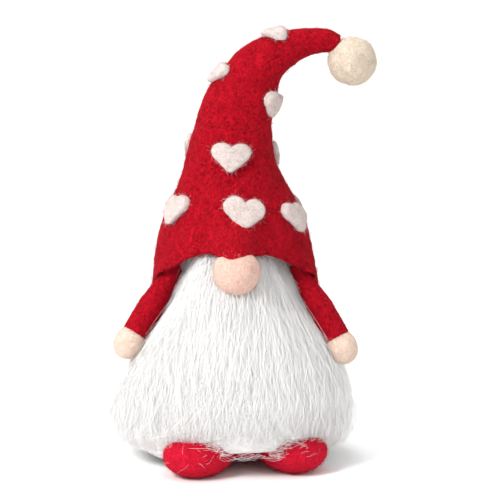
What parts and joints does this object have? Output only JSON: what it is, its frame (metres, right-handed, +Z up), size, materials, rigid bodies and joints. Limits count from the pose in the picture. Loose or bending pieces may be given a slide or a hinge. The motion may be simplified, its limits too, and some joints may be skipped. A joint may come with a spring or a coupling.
{
  "type": "tomte gnome figurine",
  "caption": "Handmade wool-felt Nordic gnome with a tall curled hat over a round nose, a long white beard, hanging arms and egg-shaped feet; it stands on a flat felt base.",
  "frame": {"origin": "on the floor under the middle of the body, at the centre of the flat base pad", "axes": "+Z is up, the face looks along -Y, and the hat curls towards +X"},
  "size_m": [0.1421, 0.129, 0.2357],
  "materials": {
    "red_felt": "bright red wet-felted wool, matt, with stray white fibres",
    "hat_felt": "deep red mottled wool felt, matt, finely hairy",
    "white_felt": "soft white wool felt, matt",
    "core_wool": "undyed core wool",
    "beard_wool": "long combed white wool, silky",
    "cream_felt": "cream wool felt ball, matt",
    "skin_felt": "pale peach wool felt, matt",
    "linen_thread": "waxed linen thread",
    "steel_wire": "soft annealed wire"
  },
  "bodies": {
    "root": {"base_pad": "red_felt", "foot_left": "red_felt", "foot_right": "red_felt", "hat_cone": "hat_felt", "hat_bend": "hat_felt", "body_skin": "white_felt", "heart_01": "white_felt", "heart_02": "white_felt", "heart_03": "white_felt", "heart_04": "white_felt", "heart_05": "white_felt", "heart_06": "white_felt", "heart_07": "white_felt", "heart_08": "white_felt", "heart_09": "white_felt", "heart_10": "white_felt", "heart_11": "white_felt", "heart_12": "white_felt", "heart_13": "white_felt", "body_core": "core_wool", "hat_stuffing": "core_wool", "beard_top_row": "beard_wool", "beard_middle_row": "beard_wool", "beard_bottom_row": "beard_wool", "nose": "skin_felt", "shoulder_thread_left": "linen_thread", "shoulder_thread_right": "linen_thread", "nose_thread": "linen_thread", "hat_wire": "steel_wire"},
    "arm_left": {"arm_left": "hat_felt", "hand_left": "skin_felt"},
    "arm_right": {"arm_right": "hat_felt", "hand_right": "skin_felt"},
    "hat_tip": {"hat_tip": "hat_felt", "pompom": "cream_felt", "pompom_thread": "linen_thread"}
  },
  "joints": [
    {"name": "arm_left_swing", "type": "hinge", "parent": "root", "child": "arm_left", "pos_m": [-0.03353, -0.01564, 0.105], "axis": [-0.8444, -0.0164, 0.5354], "range_deg": [0, 35]},
    {"name": "arm_right_swing", "type": "hinge", "parent": "root", "child": "arm_right", "pos_m": [0.03353, -0.01564, 0.105], "axis": [-0.8586, 0.023, -0.5121], "range_deg": [0, 35]},
    {"name": "hat_tip_bend", "type": "hinge", "parent": "root", "child": "hat_tip", "pos_m": [0.0383, 0, 0.2265], "axis": [0, 1, 0], "range_deg": [-30, 45], "deforming": ["hat_bend", "hat_wire"]}
  ]
}
